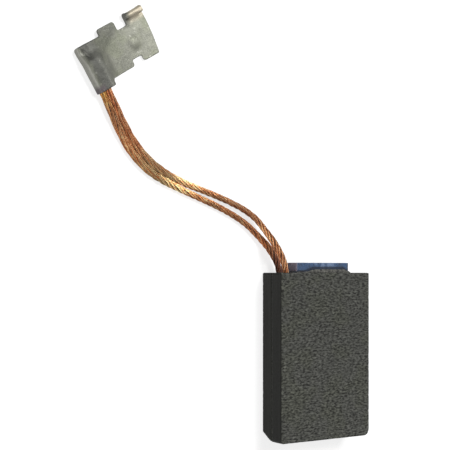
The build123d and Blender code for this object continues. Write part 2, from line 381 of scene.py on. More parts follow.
def add_node(tree, kind, inputs=None, **properties):
    """A node with its properties set and its sockets linked or given a value."""
    made = tree.nodes.new(kind)
    for name, value in properties.items():
        setattr(made, name, value)
    for socket, value in (inputs or {}).items():
        if isinstance(value, bpy.types.NodeSocket):
            tree.links.new(value, made.inputs[socket])
        else:
            made.inputs[socket].default_value = value
    return made


def maths(tree, operation, a, b=0.0, c=0.0):
    """The result of one Math node."""
    return add_node(tree, "ShaderNodeMath", {0: a, 1: b, 2: c}, operation=operation).outputs[0]


def vector_maths(tree, operation, a, b=None, scale=None):
    """The result of one Vector Math node."""
    inputs = {0: a}
    if b is not None:
        inputs[1] = b
    if scale is not None:
        inputs["Scale"] = scale
    return add_node(tree, "ShaderNodeVectorMath", inputs, operation=operation).outputs[0]


def noise_value(tree, place, scale, detail=2.0, roughness=0.5, distortion=0.0):
    """Noise from 0 to 1 with that many grains to a millimetre of place."""
    inputs = {
        "Vector": place,
        "Scale": scale,
        "Detail": detail,
        "Roughness": roughness,
        "Distortion": distortion,
    }
    return add_node(tree, "ShaderNodeTexNoise", inputs).outputs[0]


def fade(tree, value, low, high):
    """0 where value is under low, 1 where it is over high, and smooth between them."""
    inputs = {"Value": value, "From Min": low, "From Max": high}
    return add_node(tree, "ShaderNodeMapRange", inputs, interpolation_type="SMOOTHSTEP").outputs[0]


def remap(tree, value, low, high, at_low, at_high):
    """A straight line from at_low to at_high between low and high, and level beyond them."""
    inputs = {"Value": value, "From Min": low, "From Max": high, "To Min": at_low, "To Max": at_high}
    return add_node(tree, "ShaderNodeMapRange", inputs).outputs[0]


def mix_colour(tree, amount, a, b, blend="MIX"):
    """Colour a turned into colour b by amount."""
    inputs = {0: amount, 6: a, 7: b}
    made = add_node(tree, "ShaderNodeMix", inputs, data_type="RGBA", blend_type=blend)
    return made.outputs[2]


def millimetres(tree, stretch=(1, 1, 1)):
    """The object's own coordinates in millimetres, times stretch along each axis."""
    place = add_node(tree, "ShaderNodeTexCoord").outputs["Object"]
    return vector_maths(tree, "MULTIPLY", place, tuple(Vector(stretch) / MM))


def axis_of(tree, vector, axis):
    """One of X, Y and Z of a vector."""
    return add_node(tree, "ShaderNodeSeparateXYZ", {0: vector}).outputs[axis]


def facing(tree, axis):
    """How far the surface faces along an axis, from -1 to 1."""
    return axis_of(tree, add_node(tree, "ShaderNodeNewGeometry").outputs["Normal"], axis)


def scaled_colour(tree, colour, amount):
    """A colour made darker or lighter by amount."""
    return vector_maths(tree, "SCALE", colour, scale=amount)


def plain(colour):
    """A colour from the settings without its opacity."""
    return tuple(colour)[:3]


def both(tree, a, b):
    """The product of two amounts."""
    return maths(tree, "MULTIPLY", a, b)


def darkened(tree, amount, share):
    """A tone of 1 that falls by share where amount is 1, or rises if share is negative."""
    return maths(tree, "MULTIPLY_ADD", amount, -share, 1.0)


def varied(tree, value, strength):
    """A tone that varies round 1 with a noise."""
    return maths(tree, "MULTIPLY_ADD", maths(tree, "SUBTRACT", value, 0.5), strength, 1.0)


def new_material(name, roughness, metallic=0.0, specular=0.5):
    """A material with one plain shader, and its tree."""
    made = bpy.data.materials.new(name)
    made.use_nodes = True
    shader = made.node_tree.nodes["Principled BSDF"]
    shader.inputs["Metallic"].default_value = metallic
    shader.inputs["Specular IOR Level"].default_value = specular
    shader.inputs["Roughness"].default_value = roughness
    return made, made.node_tree, shader


def set_relief(tree, shader, height, depth):
    """Bump on the shader, with that depth in metres."""
    bump = add_node(tree, "ShaderNodeBump", {"Height": height, "Distance": depth})
    tree.links.new(bump.outputs[0], shader.inputs["Normal"])


def finished_mesh(holder):
    """The mesh that an object's modifiers make, as plain data, with the object taken away."""
    depsgraph = bpy.context.evaluated_depsgraph_get()
    mesh = bpy.data.meshes.new_from_object(holder.evaluated_get(depsgraph), depsgraph=depsgraph)
    bpy.data.objects.remove(holder)
    return mesh


def melted(name, mesh, weight, steps):
    """The mesh made smoother where weight, from 0 to 1, says so."""
    holder = add_object(name, mesh)
    group = holder.vertex_groups.new(name="melt")
    for vertex in mesh.vertices:
        amount = weight(vertex.co)
        if amount > 0:
            group.add([vertex.index], min(1.0, amount), "REPLACE")
    smooth = holder.modifiers.new("Melt", "SMOOTH")
    smooth.vertex_group = group.name
    smooth.iterations = steps
    return finished_mesh(holder)


def dressed_copy(
    name, node, voxel, shape, place=Matrix.Identity(4), soften=0, melt=None, melt_steps=0
):
    """A fine closed mesh of a CAD node, softened, each point moved by shape in place's frame."""
    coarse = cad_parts[node].data.copy()
    coarse.transform(place.inverted())
    form = bmesh.new()
    form.from_mesh(coarse)
    bmesh.ops.remove_doubles(form, verts=form.verts, dist=0.001 * MM)
    form.to_mesh(coarse)
    form.free()
    holder = add_object(name + "_form", coarse)
    remesh = holder.modifiers.new("Fine mesh", "REMESH")
    remesh.mode = "VOXEL"
    remesh.voxel_size = voxel
    remesh.use_smooth_shade = True
    if soften:
        smooth = holder.modifiers.new("Soft edges", "SMOOTH")
        smooth.iterations = soften
    fine = finished_mesh(holder)
    if melt:
        fine = melted(name + "_melt", fine, melt, melt_steps)
    moved = [shape(vertex.co.copy(), vertex.normal.copy()) for vertex in fine.vertices]
    for vertex, point in zip(fine.vertices, moved):
        vertex.co = point
    fine.transform(place)
    fine.name = name
    fine.materials.clear()
    return add_object(name, fine)


def finish_piece(piece, material, slot, *nodes):
    """Gives a piece its material, hides the CAD nodes that it stands in for, and hangs it from the
    root.
    """
    if not piece.data.materials:
        piece.data.materials.append(material)
    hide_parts(*nodes)
    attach(piece, "root")


# Carbon wafers


def carbon_material(name, settings, side_shade_tone, side_streaks):
    """Ground carbon with a wavy grain and faint stains, darkened towards the spring end by painted
    shade; its narrow sides streaked along their length and darkened by painted shade, with more of it
    along their floor and spring-end edges.
    """
    material, tree, shader = new_material(name, roughness=0.62, specular=0.12)
    place = millimetres(tree)
    grains = MM / settings.grain
    stretched = millimetres(tree, stretch=(0.55, 1.15, 1.0))
    wavy = noise_value(tree, stretched, grains, distortion=0.4)
    uneven = noise_value(tree, place, scale=0.16)
    grain = maths(tree, "SUBTRACT", wavy, 0.5)
    strength = maths(tree, "MULTIPLY_ADD", uneven, settings.contrast, settings.contrast / 2)
    level = maths(tree, "MAXIMUM", maths(tree, "MULTIPLY_ADD", grain, strength, 1.0), 0.25)
    stain = fade(tree, noise_value(tree, place, scale=0.11, detail=3.0), 0.42, 0.62)
    colour = scaled_colour(tree, mix_colour(tree, stain, settings.base, settings.olive), level)
    # Painted shade: darker towards the spring end, to offset the key lamp that lights that end more
    painted_shade_gradient = remap(tree, axis_of(tree, place, "Y"), -SHADE_GRADIENT_HALF, SHADE_GRADIENT_HALF, *SHADE_GRADIENT_TONES)
    colour = scaled_colour(tree, colour, painted_shade_gradient)
    # The narrow sides: streaked along their length, and darkened as painted shade
    lengthwise = millimetres(tree, stretch=(0.9, 0.03, 0.9))
    drawn = noise_value(tree, lengthwise, scale=1.3, detail=3.0, roughness=0.6)
    streak = maths(tree, "MULTIPLY_ADD", maths(tree, "SUBTRACT", drawn, 0.5), side_streaks, side_shade_tone)
    side_colour_and_shade = scaled_colour(tree, plain(settings.base), streak)
    side = fade(tree, maths(tree, "ABSOLUTE", facing(tree, "X")), 0.6, 0.9)
    colour = mix_colour(tree, side, colour, side_colour_and_shade)
    # Painted shade along the floor and spring-end edges of the narrow sides
    rim = fade(tree, axis_of(tree, place, "Z"), *PAINTED_EDGE_SHADE)
    from_end = maths(tree, "SUBTRACT", SPRING_END / MM, axis_of(tree, place, "Y"))
    painted_edge_shade = maths(tree, "SUBTRACT", 1.0, both(tree, rim, fade(tree, from_end, *PAINTED_EDGE_SHADE)))
    colour = scaled_colour(tree, colour, darkened(tree, both(tree, side, painted_edge_shade), 0.85))
    tree.links.new(colour, shader.inputs["Base Color"])
    tree.links.new(maths(tree, "MULTIPLY_ADD", wavy, 0.3, 0.45), shader.inputs["Roughness"])
    set_relief(tree, shader, wavy, depth=0.06 * MM)
    return material


def chipped_block(low, high, depth):
    """A shape that nibbles the edges of a block between two corners."""

    def shape(point, normal):
        walls = sorted(min(value - a, b - value) for value, a, b in zip(point, low, high))
        if walls[1] > CHIP_REACH:
            return point
        small = noise.noise(point / CHIP_SIZE * SMALL_CHIPS)
        bite = noise.noise(point / CHIP_SIZE) + 0.5 * small
        amount = depth * max(0.0, bite - CHIP_START) * (1 - walls[1] / CHIP_REACH)
        return point - normal * amount

    return shape


class BRUSH_OT_wafers(bpy.types.Operator):
    """Make the two carbon wafers, with worn edges"""

    bl_idname = "brush.make_wafers"
    bl_label = "Make Wafers"

    def execute(self, context):
        carbon = context.scene.brush_carbon
        for name, low, high, side_shade_tone, side_streaks in (
            ("front_wafer", WAFER_LOW, WAFER_HIGH, 0.38, 0.3),
            ("rear_wafer", REAR_LOW, REAR_HIGH, 0.50, 0.6),
        ):
            material = carbon_material(name + "_carbon", carbon, side_shade_tone, side_streaks)
            shape = chipped_block(low, high, carbon.chip_depth)
            piece = dressed_copy(name + "_block", name, voxel=0.35 * MM, shape=shape)
            finish_piece(piece, material, name.split("_")[0] + "_carbon", name)
        return {"FINISHED"}


# Tamped powder


def powder_material():
    """Rough copper and graphite powder."""
    material, tree, shader = new_material("tamped_powder", roughness=0.7, specular=0.3)
    grains = noise_value(tree, millimetres(tree), scale=6.0, roughness=0.7)
    graphite = (0.05, 0.035, 0.03, 1)
    copper = (0.32, 0.16, 0.09, 1)
    colour = mix_colour(tree, fade(tree, grains, 0.4, 0.65), graphite, copper)
    tree.links.new(colour, shader.inputs["Base Color"])
    set_relief(tree, shader, grains, depth=0.12 * MM)
    return material


def crumbled(point, normal):
    """Powder grains on the surface of the plug."""
    height = 0.05 * MM
    size = 0.35 * MM
    return point + normal * (height * noise.noise(point / size))


class BRUSH_OT_tampings(bpy.types.Operator):
    """Make the tamped powder that holds the leads in their holes"""

    bl_idname = "brush.make_tampings"
    bl_label = "Make Tampings"

    def execute(self, context):
        material = powder_material()
        for name in ("front_tamping", "rear_tamping"):
            piece = dressed_copy(name + "_powder", name, voxel=0.12 * MM, shape=crumbled)
            finish_piece(piece, material, "tamped_powder", name)
        return {"FINISHED"}


# Pad and adhesive


def rubber_material(settings):
    """Blue rubber, dusty in patches, with painted highlights in spots, narrow ends lightened as painted
    light, a darker right end, and a painted shadow line along the adhesive.
    """
    material, tree, shader = new_material("pad_rubber", roughness=0.75, specular=0.3)
    place = millimetres(tree)
    dust = fade(tree, noise_value(tree, place, scale=0.35, detail=4.0, roughness=0.65), 0.42, 0.68)
    fine = noise_value(tree, place, scale=3.5, roughness=0.6)
    colour = mix_colour(tree, both(tree, dust, 0.55), settings.rubber, settings.dust)
    # Painted highlights: lighter spots, stretched up the pad's front
    tall = millimetres(tree, stretch=(1.0, 0.5, 1.0))
    spots = fade(tree, noise_value(tree, tall, scale=0.33, detail=1.0), 0.53, 0.68)
    colour = mix_colour(tree, both(tree, spots, 0.7), colour, settings.light)
    # Painted light: the narrow ends, dusty grey and lightened well above the rubber
    end = fade(tree, maths(tree, "ABSOLUTE", facing(tree, "X")), 0.4, 0.8)
    colour = mix_colour(tree, end, colour, settings.end)
    from_left = maths(tree, "SUBTRACT", axis_of(tree, place, "X"), PAD_LOW.x / MM)
    from_right = maths(tree, "SUBTRACT", PAD_HIGH.x / MM, axis_of(tree, place, "X"))
    # A darker strip at the right end of the pad's front
    darker_right_end = fade(tree, from_right, *DARKER_RIGHT_END)
    tone = both(tree, varied(tree, fine, 2.2), darkened(tree, darker_right_end, 0.8))
    # Painted shadow: a dark line on the pad's front along the top of the adhesive and its hump
    hump = both(tree, fade(tree, from_left, *HUMP_RISE), fade(tree, from_right, 0.0, HUMP_FALL))
    above = maths(tree, "SUBTRACT", axis_of(tree, place, "Y"), SPRING_END / MM + FOOT_WIDTH)
    above = maths(tree, "MULTIPLY_ADD", hump, -HUMP_HEIGHT, above)
    foot = both(tree, fade(tree, above, 0.2, -0.05), fade(tree, facing(tree, "Z"), 0.4, 0.8))
    colour = mix_colour(tree, both(tree, foot, 0.85), colour, settings.painted_shadow_line)
    tree.links.new(scaled_colour(tree, colour, tone), shader.inputs["Base Color"])
    set_relief(tree, shader, fine, depth=0.05 * MM)
    return material


def adhesive_material(settings):
    """Adhesive: dark on the pad as a painted shadow line, and dusted with carbon on its crest in front.
    """
    material, tree, shader = new_material("adhesive", roughness=0.6, specular=0.3)
    place = millimetres(tree)
    grain = noise_value(tree, place, scale=1.6, detail=1.0)
    crest = PAD_HIGH.z / MM + CREST_HEIGHT
    # Carbon dust on the crest; below it the adhesive carries the painted shadow line
    dusted = fade(tree, axis_of(tree, place, "Z"), crest - CREST_FADE, crest)
    colour = mix_colour(tree, dusted, settings.painted_shadow_line, settings.adhesive)
    colour = scaled_colour(tree, colour, varied(tree, grain, 4.5))
    tree.links.new(colour, shader.inputs["Base Color"])
    set_relief(tree, shader, grain, depth=0.06 * MM)
    return material


def cut_rubber(point, normal):
    """The slight waviness of cut rubber."""
    height = 0.05 * MM
    size = 2.2 * MM
    return point + normal * (height * noise.noise(point / size))


def squeezed(point, normal):
    """The lumps of squeezed out adhesive, kept off the surfaces it sticks to."""
    height = 0.12 * MM
    size = 1.3 * MM
    clearance = 0.3 * MM
    free = min(1.0, (point.y - SPRING_END) / clearance)
    return point + normal * (height * free * noise.noise(point / size))


class BRUSH_OT_pad(bpy.types.Operator):
    """Make the rubber pad on the spring end"""

    bl_idname = "brush.make_pad"
    bl_label = "Make Pad"

    def execute(self, context):
        material = rubber_material(context.scene.brush_pad)
        piece = dressed_copy("top_pad_rubber", "top_pad", voxel=0.25 * MM, shape=cut_rubber)
        finish_piece(piece, material, "pad_rubber", "top_pad")
        return {"FINISHED"}


class BRUSH_OT_adhesive(bpy.types.Operator):
    """Make the bead of adhesive round the pad"""

    bl_idname = "brush.make_adhesive"
    bl_label = "Make Adhesive"

    def execute(self, context):
        material = adhesive_material(context.scene.brush_pad)
        piece = dressed_copy(
            "pad_adhesive_bead", "pad_adhesive", voxel=0.1 * MM, shape=squeezed, soften=4
        )
        finish_piece(piece, material, "adhesive", "pad_adhesive")
        return {"FINISHED"}


# Terminal


def in_terminal(tree):
    """Coordinates in millimetres in the terminal's own frame."""
    place = add_node(tree, "ShaderNodeTexCoord").outputs["Object"]
    inputs = {
        "Vector": place,
        "Location": TERMINAL_PLACE.translation,
        "Rotation": (0, 0, TERMINAL_TURN),
        "Scale": (MM, MM, MM),
    }
    return add_node(tree, "ShaderNodeMapping", inputs, vector_type="TEXTURE").outputs[0]


def tin_material(settings):
    """Dull tin plating, mottled and stained, with painted shade over the barrel, above it and inside
    the open end of the hem, painted light on slopes facing left and right, painted glints, a darker
    plum corner at the barrel's mouth, and a pinkish painted highlight on the rolled hem.
    """
    material, tree, shader = new_material("dull_tin", roughness=0.45, metallic=0.6)
    place = in_terminal(tree)
    blade = axis_of(tree, place, "X")
    barrel = axis_of(tree, place, "Y")
    mottle = noise_value(tree, place, scale=0.32, detail=3.0, roughness=0.6)
    elsewhere = vector_maths(tree, "ADD", place, STAIN_SHIFT)
    stain = noise_value(tree, elsewhere, scale=0.2)
    fine = noise_value(tree, place, scale=2.4, detail=3.0, roughness=0.6)
    # Painted glints: small bright spots
    painted_glint_specks = fade(tree, noise_value(tree, place, scale=0.7, detail=1.0), 0.66, 0.74)
    wander = maths(tree, "MULTIPLY_ADD", mottle, EDGE_WANDER, -EDGE_WANDER / 2)
    across = maths(tree, "ADD", blade, wander)
    # Painted shade over the barrel, where it lies on the leads
    painted_shade_band = both(tree, fade(tree, across, *SHADE_BAND_LEFT), fade(tree, across, *SHADE_BAND_RIGHT))
    corner = both(tree, fade(tree, across, *PLUM_RIGHT), fade(tree, barrel, *PLUM_TOP))
    hem = both(tree, fade(tree, across, *HEM_HIGHLIGHT_LEFT), fade(tree, barrel, *HEM_HIGHLIGHT_LOW))
    left = (-math.cos(TERMINAL_TURN), -math.sin(TERMINAL_TURN), 0)
    normal = add_node(tree, "ShaderNodeNewGeometry").outputs["Normal"]
    inputs = {0: normal, 1: left}
    facing_left = add_node(tree, "ShaderNodeVectorMath", inputs, operation="DOT_PRODUCT")
    outward = facing_left.outputs["Value"]
    colour = settings.tin
    for amount, share, tint in (
        (fade(tree, mottle, 0.6, 0.4), 0.35, settings.shade),
        (fade(tree, stain, 0.45, 0.65), 0.6, settings.olive),
        (painted_shade_band, 0.9, settings.shade),
        # Painted light: sides facing left are lightened, standing in for light and reflection on them
        (fade(tree, outward, 0.1, 0.6), 1.0, settings.painted_light),
        # Painted glints
        (painted_glint_specks, 0.5, settings.painted_light),
        (corner, 0.8, settings.plum),
        # Painted highlight: pinkish light along the rolled hem
        (hem, 0.9, settings.hem_highlight),
    ):
        colour = mix_colour(tree, both(tree, amount, share), colour, tint)
    # Painted shade above the barrel and along the middle of its top
    height = maths(tree, "MULTIPLY_ADD", across, -SHOULDER_SLOPE, barrel)
    painted_shoulder_shade = both(tree, fade(tree, height, *SHOULDER_LOW), fade(tree, across, *SHOULDER_LEFT))
    middle = both(tree, fade(tree, across, *MIDDLE_LEFT), fade(tree, across, *MIDDLE_RIGHT))
    # Painted shade inside the open left end of the rolled hem
    painted_hem_shade = both(tree, fade(tree, across, *HEM_END_RIGHT), fade(tree, blade, *HEM_END_LEFT))
    painted_hem_shade = both(tree, painted_hem_shade, fade(tree, barrel, *HEM_END_LOW))
    tone = remap(tree, blade, *BLADE_PLACES, *BLADE_TONES)
    for amount, share in (
        (maths(tree, "MAXIMUM", painted_shoulder_shade, middle), 0.42),
        (painted_hem_shade, 0.55),
        # Painted light: slopes facing right are lightened against their shade
        (fade(tree, outward, -0.04, -0.35), -0.45),
    ):
        tone = both(tree, tone, darkened(tree, amount, share))
    tree.links.new(scaled_colour(tree, colour, tone), shader.inputs["Base Color"])
    tree.links.new(remap(tree, fine, 0.0, 1.0, 0.36, 0.6), shader.inputs["Roughness"])
    relief = maths(tree, "MULTIPLY_ADD", mottle, 2.0, fine)
    set_relief(tree, shader, relief, depth=0.06 * MM)
    return material


def formed_sheet(depth):
    """A shape with the low waves of hand tooling, and the hollow that the pinching left."""
    middle = Vector(CREASE_PLACE) * MM
    across = Vector((math.cos(CREASE_TURN), math.sin(CREASE_TURN), 0))
    along = Vector((-across.y, across.x, 0))

    def shape(point, normal):
        wave = noise.noise(point / WAVE_SIZE) + 0.5 * noise.noise(point / RIPPLE_SIZE)
        lift = min(1.0, point.z / WAVE_CLEARANCE)
        moved = point + normal * (depth * wave * lift)
        if normal.z > 0:
            offset = point - middle
            width = offset.dot(across) / CREASE_WIDTH
            length = offset.dot(along) / CREASE_LENGTH
            far = width * width + length * length
            moved += Vector((0, 0, 1)) * normal.z * CREASE_DEPTH * (0.9 * far - 1) * math.exp(-far)
        return moved

    return shape


def worked_sheet(point):
    """How much the forming rounded the sheet at a point: on the barrel, the boss and the hem."""
    x, y = point.x / MM, point.y / MM
    barrel = min(x - BARREL_START, BARREL_END - x, y - BARREL_LOW, BODY_TOP - y)
    if x > TOE_START:
        barrel = min(barrel, y - TOE_TOP)
    boss = BOSS_REACH - math.hypot(x - BOSS_PLACE[0], y - BOSS_PLACE[1])
    hem = min(x - HEM_PLACE[0], y - HEM_PLACE[1], HEM_PLACE[2] - x)
    return max(barrel, boss / BOSS_EASE, hem, 0.0)


class BRUSH_OT_terminal(bpy.types.Operator):
    """Make the folded flag terminal"""

    bl_idname = "brush.make_terminal"
    bl_label = "Make Terminal"

    def execute(self, context):
        tin = context.scene.brush_terminal
        piece = dressed_copy(
            "flag_terminal",
            "terminal",
            voxel=0.12 * MM,
            shape=formed_sheet(tin.dents),
            place=TERMINAL_PLACE,
            soften=SOFTEN_STEPS,
            melt=worked_sheet,
            melt_steps=MELT_STEPS,
        )
        finish_piece(piece, tin_material(tin), "tinned_sheet", "terminal")
        return {"FINISHED"}


# Leads


def lead_route(lead):
    """The control points of a lead, from inside its wafer to inside the barrel."""
    hole_x = LEADS_CORNER.x + lead["inset"] * MM
    height = lead["height"] * MM
    start = [
        Vector((hole_x, SPRING_END - LEAD_IN_WAFER * MM, height)),
        Vector((hole_x, SPRING_END + LEAD_OUT_STRAIGHT * MM, height)),
    ]
    middle = [LEADS_CORNER + Vector(point) * MM for point in lead["route"]]
    ends = [
        TERMINAL_PLACE @ (Vector((lead["barrel_x"], y, LEAD_IN_SHEET)) * MM)
        for y in (-LEAD_BEFORE_BARREL, LEAD_IN_BARREL)
    ]
    return start + middle + ends


def smooth_line(name, points):
    """Points read along the NURBS spline that has the route as its control points."""
    curve = bpy.data.curves.new(name + "_route", "CURVE")
    curve.dimensions = "3D"
    curve.resolution_u = ROUTE_STEPS
    spline = curve.splines.new("NURBS")
    spline.points.add(len(points) - 1)
    for knot, point in zip(spline.points, points):
        knot.co = (*point, 1)
    spline.order_u = 3
    spline.use_endpoint_u = True
    line = finished_mesh(add_object(curve.name, curve))
    return [vertex.co.copy() for vertex in line.vertices]


def rope_tree(name, material):
    """Geometry Nodes that lay bundles of wires round a line."""
    tree = bpy.data.node_groups.new(name, "GeometryNodeTree")
    tree.interface.new_socket("Line", in_out="INPUT", socket_type="NodeSocketGeometry")
    for title in ("Bundles", "Wires", "Seed"):
        tree.interface.new_socket(title, in_out="INPUT", socket_type="NodeSocketInt")
    for title in ("Rope Radius", "Wire Radius", "Rope Lay", "Bundle Lay", "Step"):
        tree.interface.new_socket(title, in_out="INPUT", socket_type="NodeSocketFloat")
    tree.interface.new_socket("Rope", in_out="OUTPUT", socket_type="NodeSocketGeometry")
    given = tree.nodes.new("NodeGroupInput").outputs
    line = add_node(tree, "GeometryNodeMeshToCurve", {0: given["Line"]}).outputs[0]
    steps = {"Curve": line, "Length": given["Step"]}
    line = add_node(tree, "GeometryNodeResampleCurve", steps, mode="LENGTH").outputs[0]
    bundle_radius = maths(tree, "DIVIDE", given["Rope Radius"], 3.0)
    bundle_place = maths(tree, "SUBTRACT", given["Rope Radius"], bundle_radius)
    wire_radius = given["Wire Radius"]
    wire_place = maths(tree, "SUBTRACT", bundle_radius, wire_radius)
    core_radius = maths(tree, "MULTIPLY_ADD", wire_radius, -CORE_DEPTH, wire_place)
    wires = laid_strands(tree, line, given, given["Wires"], bundle_place, wire_place)
    cores = laid_strands(tree, line, given, 1, bundle_place, 0.0)
    joined = add_node(tree, "GeometryNodeJoinGeometry")
    for strands, radius, sides in (
        (line, bundle_place, HEART_SIDES),
        (cores, core_radius, CORE_SIDES),
        (wires, wire_radius, WIRE_SIDES),
    ):
        tree.links.new(round_strands(tree, strands, radius, sides), joined.inputs[0])
    smooth = add_node(tree, "GeometryNodeSetShadeSmooth", {"Geometry": joined.outputs[0]})
    real = add_node(tree, "GeometryNodeRealizeInstances", {"Geometry": smooth.outputs[0]})
    inputs = {"Geometry": real.outputs[0], "Material": material}
    finished = add_node(tree, "GeometryNodeSetMaterial", inputs)
    add_node(tree, "NodeGroupOutput", {0: finished.outputs[0]})
    return tree


def round_strands(tree, lines, radius, sides):
    """Closed round strands along lines."""
    circle = add_node(
        tree, "GeometryNodeCurvePrimitiveCircle", {"Resolution": sides, "Radius": radius}
    )
    inputs = {"Curve": lines, "Profile Curve": circle.outputs[0], "Fill Caps": True}
    return add_node(tree, "GeometryNodeCurveToMesh", inputs).outputs[0]


def laid_length(tree, along):
    """The length that the lay goes by, which falls behind towards the terminal."""
    past = maths(tree, "MAXIMUM", maths(tree, "SUBTRACT", along, LAY_OPENS), 0.0)
    opened = maths(tree, "DIVIDE", both(tree, past, past), maths(tree, "ADD", past, LAY_EASE))
    return maths(tree, "MULTIPLY_ADD", opened, -LAY_OPENING, along)


def sideways_spread(tree, along):
    """How much wider the strands lie on the floor at the block and towards the terminal."""
    spread = 1.0
    for starts, ends, share in (
        (EXIT_SPREAD_STARTS, EXIT_SPREAD_ENDS, EXIT_SPREAD),
        (SPREAD_STARTS, SPREAD_ENDS, SPREAD),
    ):
        here = both(tree, fade(tree, along, *starts), fade(tree, along, *ends))
        spread = maths(tree, "MULTIPLY_ADD", here, share, spread)
    return add_node(tree, "ShaderNodeCombineXYZ", {0: spread, 1: spread, 2: 1.0}).outputs[0]


def laid_strands(tree, line, given, wires, bundle_place, wire_place):
    """Lines laid round a line: each wire turns in its bundle, and each bundle in the rope."""
    total = maths(tree, "MULTIPLY", given["Bundles"], wires)
    copies = add_node(
        tree, "GeometryNodeDuplicateElements", {"Geometry": line, "Amount": total}, domain="SPLINE"
    )
    index = copies.outputs["Duplicate Index"]
    bundle = maths(tree, "FLOOR", maths(tree, "DIVIDE", maths(tree, "ADD", index, 0.5), wires))
    wire = maths(tree, "SUBTRACT", index, maths(tree, "MULTIPLY", bundle, wires))
    along = add_node(tree, "GeometryNodeSplineParameter").outputs["Length"]
    laid = laid_length(tree, along)
    own_noise = maths(tree, "MULTIPLY_ADD", bundle, STRAY_STEP, given["Seed"])
    wander = add_node(
        tree,
        "ShaderNodeTexNoise",
        {"W": own_noise, "Scale": STRAYS, "Detail": 1.0},
        noise_dimensions="4D",
    )
    stray = maths(tree, "SUBTRACT", wander.outputs[0], 0.5)
    turn = 2 * math.pi
    bundle_turn = maths(tree, "DIVIDE", bundle, given["Bundles"])
    rope_turn = maths(tree, "ADD", bundle_turn, maths(tree, "DIVIDE", laid, given["Rope Lay"]))
    rope_angle = maths(tree, "MULTIPLY_ADD", rope_turn, turn, stray)
    wire_turn = maths(tree, "DIVIDE", wire, wires)
    lay_turn = maths(tree, "SUBTRACT", wire_turn, maths(tree, "DIVIDE", laid, given["Bundle Lay"]))
    wire_angle = maths(tree, "MULTIPLY", lay_turn, turn)
    reach = both(tree, bundle_place, maths(tree, "MULTIPLY_ADD", stray, STRAY_SHARE, BUNDLE_REACH))
    across = []
    for function in ("COSINE", "SINE"):
        in_rope = both(tree, maths(tree, function, rope_angle), reach)
        in_bundle = both(tree, maths(tree, function, wire_angle), wire_place)
        across.append(maths(tree, "ADD", in_rope, in_bundle))
    tangent = add_node(tree, "GeometryNodeInputTangent").outputs[0]
    normal = add_node(tree, "GeometryNodeInputNormal").outputs[0]
    binormal = vector_maths(tree, "CROSS_PRODUCT", tangent, normal)
    offset = vector_maths(
        tree,
        "ADD",
        vector_maths(tree, "SCALE", normal, scale=across[0]),
        vector_maths(tree, "SCALE", binormal, scale=across[1]),
    )
    offset = vector_maths(tree, "MULTIPLY", offset, sideways_spread(tree, along))
    moved = {"Geometry": copies.outputs[0], "Offset": offset}
    lines = add_node(tree, "GeometryNodeSetPosition", moved).outputs[0]
    tones = {"ID": index, "Seed": given["Seed"]}
    tone = add_node(tree, "FunctionNodeRandomValue", tones, data_type="FLOAT").outputs[1]
    far = maths(tree, "SQRT", maths(tree, "ADD", *(both(tree, value, value) for value in across)))
    depth = maths(tree, "DIVIDE", far, given["Rope Radius"])
    for title, value in (("wire_tone", tone), ("along", along), ("reach", depth)):
        lines = add_node(
            tree,
            "GeometryNodeStoreNamedAttribute",
            {"Geometry": lines, "Name": title, "Value": value},
            data_type="FLOAT",
            domain="POINT",
        ).outputs[0]
    return lines


def copper_material(name, settings, tints_and_painted_light):
    """Bare copper wires that differ one by one, with painted glints, painted shade in their grooves, a
    painted highlight along the middle of the lead, and tints along it that hold painted shadow and
    painted highlight too.
    """
    material, tree, shader = new_material(name, roughness=0.34, metallic=0.5)
    tone, along, reach = (
        add_node(tree, "ShaderNodeAttribute", attribute_name=title).outputs["Fac"]
        for title in ("wire_tone", "along", "reach")
    )
    place = millimetres(tree)
    patches = noise_value(tree, place, scale=0.5, detail=3.0, roughness=0.65)
    # Painted glints: a noise that lifts wires to the bright colour in spots
    glints = noise_value(tree, place, scale=1.3, roughness=0.6)
    level = maths(tree, "MULTIPLY_ADD", tone, 0.3, both(tree, patches, 0.4))
    level = maths(tree, "MULTIPLY_ADD", glints, 0.3, level)
    # Painted highlight along the middle of each lead
    painted_light = both(tree, fade(tree, along, *HIGHLIGHT_STARTS), fade(tree, along, *HIGHLIGHT_ENDS))
    level = maths(tree, "MULTIPLY_ADD", painted_light, 0.15, level)
    colour = mix_colour(tree, fade(tree, level, 0.34, 0.5), settings.brown, settings.red)
    colour = mix_colour(tree, fade(tree, level, 0.48, 0.68), colour, settings.bright)
    # Painted shade in the grooves between the wires, lighter towards the terminal
    groove_shade = maths(tree, "MULTIPLY_ADD", fade(tree, along, *LIGHTER_GROOVE_SHADE), 0.28, 0.32)
    colour = scaled_colour(tree, colour, remap(tree, reach, *GROOVE_REACH, groove_shade, 1.0))
    # The tints along the lead, painted shadow and painted highlight included
    share = maths(tree, "DIVIDE", along, TINT_LENGTH)
    stops = add_node(tree, "ShaderNodeValToRGB", {"Fac": share})
    tints = stops.color_ramp.elements
    tints.remove(tints[1])
    tints[0].color = (*tints_and_painted_light[0][1], 1)
    for position, tint in tints_and_painted_light[1:]:
        tints.new(position).color = (*tint, 1)
    colour = mix_colour(tree, 1.0, colour, stops.outputs[0], blend="MULTIPLY")
    tree.links.new(colour, shader.inputs["Base Color"])
    return material


